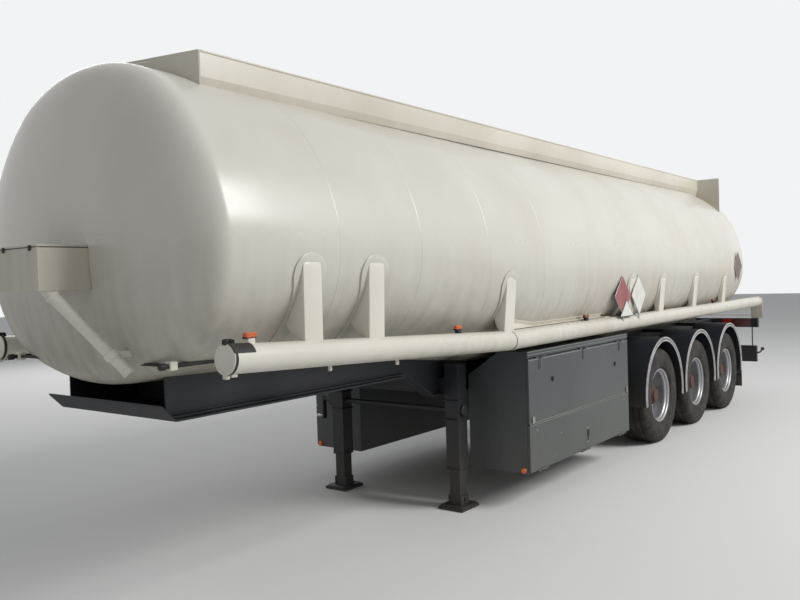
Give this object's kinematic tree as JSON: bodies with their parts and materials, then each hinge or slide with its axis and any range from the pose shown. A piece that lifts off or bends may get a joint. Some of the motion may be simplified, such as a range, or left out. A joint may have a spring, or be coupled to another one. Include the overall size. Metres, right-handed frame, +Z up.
{
  "type": "tanker trailer",
  "caption": "Long road trailer with an egg-sectioned fuel tank, side hose tubes, equipment cabinets and axles under mudguards.",
  "frame": {"origin": "on the ground, in the middle of the length and the width", "axes": "+X forward to the coupling, +Y to the trailer's left, +Z up"},
  "size_m": [11.2499, 2.5418, 3.2903],
  "materials": {
    "tank_paint": "worn gloss enamel",
    "chassis_paint": "dull chassis paint",
    "cabinet_paint": "satin enamel",
    "rim_paint": "silver wheel paint",
    "bare_steel": "worn and greased",
    "walkway_metal": "dull",
    "tyre_rubber": "matt",
    "flap_rubber": "matt",
    "amber_lens": "moulded lens",
    "red_lens": "moulded lens",
    "plate_sheet": "blank plate",
    "cast_metal": "cast"
  },
  "bodies": {
    "trailer": {"tank_shell": "tank_paint", "side_supports": "tank_paint", "side_tubes": "tank_paint", "tube_shelves": "tank_paint", "hose_tube_left": "tank_paint", "hose_tube_right": "tank_paint", "coaming_sides": "tank_paint", "coaming_ends": "tank_paint", "walkway": "walkway_metal", "manhole_necks": "cast_metal", "vapour_pipe": "cast_metal", "chassis_rails": "chassis_paint", "neck_rails": "chassis_paint", "axle_hangers": "chassis_paint", "cross_members": "chassis_paint", "coupling_skid": "chassis_paint", "kingpin": "bare_steel", "landing_legs": "chassis_paint", "trailing_arms": "chassis_paint", "axle_beams": "chassis_paint", "air_springs": "flap_rubber", "air_tanks": "chassis_paint", "mudguards": "chassis_paint", "guard_bars": "chassis_paint", "mudflaps": "flap_rubber", "cabinet_left": "cabinet_paint", "cabinet_right": "cabinet_paint", "discharge_pipes": "cast_metal", "light_board": "chassis_paint", "rear_bumper": "chassis_paint", "tail_lamps": "red_lens", "rear_ladder": "walkway_metal", "marker_lamps": "amber_lens", "hazard_placards": "plate_sheet", "front_box": "tank_paint", "front_pipe": "tank_paint"},
    "road_wheel_left_1": {"tyre_left_1": "tyre_rubber", "wheel_left_1": "rim_paint"},
    "road_wheel_right_1": {"tyre_right_1": "tyre_rubber", "wheel_right_1": "rim_paint"},
    "road_wheel_left_2": {"tyre_left_2": "tyre_rubber", "wheel_left_2": "rim_paint"},
    "road_wheel_right_2": {"tyre_right_2": "tyre_rubber", "wheel_right_2": "rim_paint"},
    "road_wheel_left_3": {"tyre_left_3": "tyre_rubber", "wheel_left_3": "rim_paint"},
    "road_wheel_right_3": {"tyre_right_3": "tyre_rubber", "wheel_right_3": "rim_paint"},
    "cabinet_door_left": {"cabinet_door_left": "cabinet_paint"},
    "cabinet_flap_left": {"cabinet_flap_left": "cabinet_paint"},
    "tube_cap_left": {"tube_cap_left": "tank_paint"},
    "cabinet_door_right": {"cabinet_door_right": "cabinet_paint"},
    "cabinet_flap_right": {"cabinet_flap_right": "cabinet_paint"},
    "tube_cap_right": {"tube_cap_right": "tank_paint"},
    "manhole_lid_1": {"manhole_lid_1": "cast_metal"},
    "manhole_lid_2": {"manhole_lid_2": "cast_metal"},
    "manhole_lid_3": {"manhole_lid_3": "cast_metal"},
    "manhole_lid_4": {"manhole_lid_4": "cast_metal"}
  },
  "joints": [
    {"name": "axle_1_left", "type": "hinge", "parent": "trailer", "child": "road_wheel_left_1", "pos_m": [-1.125, 1.02, 0.53], "axis": [0, 1, 0], "continuous": true},
    {"name": "axle_1_right", "type": "hinge", "parent": "trailer", "child": "road_wheel_right_1", "pos_m": [-1.125, -1.02, 0.53], "axis": [0, 1, 0], "continuous": true},
    {"name": "axle_2_left", "type": "hinge", "parent": "trailer", "child": "road_wheel_left_2", "pos_m": [-2.435, 1.02, 0.53], "axis": [0, 1, 0], "continuous": true},
    {"name": "axle_2_right", "type": "hinge", "parent": "trailer", "child": "road_wheel_right_2", "pos_m": [-2.435, -1.02, 0.53], "axis": [0, 1, 0], "continuous": true},
    {"name": "axle_3_left", "type": "hinge", "parent": "trailer", "child": "road_wheel_left_3", "pos_m": [-3.745, 1.02, 0.53], "axis": [0, 1, 0], "continuous": true},
    {"name": "axle_3_right", "type": "hinge", "parent": "trailer", "child": "road_wheel_right_3", "pos_m": [-3.745, -1.02, 0.53], "axis": [0, 1, 0], "continuous": true},
    {"name": "cabinet_door_left_hinge", "type": "hinge", "parent": "trailer", "child": "cabinet_door_left", "pos_m": [0.925, 1.206, 1.24], "axis": [1, 0, 0], "range_deg": [0, 100]},
    {"name": "cabinet_flap_left_hinge", "type": "hinge", "parent": "trailer", "child": "cabinet_flap_left", "pos_m": [0.925, 1.206, 0.3], "axis": [-1, 0, 0], "range_deg": [0, 90]},
    {"name": "tube_cap_left_hinge", "type": "hinge", "parent": "trailer", "child": "tube_cap_left", "pos_m": [5.0957, 1.18, 1.6389], "axis": [0, -1, 0], "range_deg": [0, 100]},
    {"name": "cabinet_door_right_hinge", "type": "hinge", "parent": "trailer", "child": "cabinet_door_right", "pos_m": [0.925, -1.206, 1.24], "axis": [-1, 0, 0], "range_deg": [0, 100]},
    {"name": "cabinet_flap_right_hinge", "type": "hinge", "parent": "trailer", "child": "cabinet_flap_right", "pos_m": [0.925, -1.206, 0.3], "axis": [1, 0, 0], "range_deg": [0, 90]},
    {"name": "tube_cap_right_hinge", "type": "hinge", "parent": "trailer", "child": "tube_cap_right", "pos_m": [5.0957, -1.18, 1.6389], "axis": [0, -1, 0], "range_deg": [0, 100]},
    {"name": "manhole_lid_1_hinge", "type": "hinge", "parent": "trailer", "child": "manhole_lid_1", "pos_m": [3.621, 0, 3.281], "axis": [0, -1, 0], "range_deg": [0, 100]},
    {"name": "manhole_lid_2_hinge", "type": "hinge", "parent": "trailer", "child": "manhole_lid_2", "pos_m": [1.621, 0, 3.281], "axis": [0, -1, 0], "range_deg": [0, 100]},
    {"name": "manhole_lid_3_hinge", "type": "hinge", "parent": "trailer", "child": "manhole_lid_3", "pos_m": [-0.979, 0, 3.281], "axis": [0, -1, 0], "range_deg": [0, 100]},
    {"name": "manhole_lid_4_hinge", "type": "hinge", "parent": "trailer", "child": "manhole_lid_4", "pos_m": [-3.279, 0, 3.281], "axis": [0, -1, 0], "range_deg": [0, 100]}
  ]
}
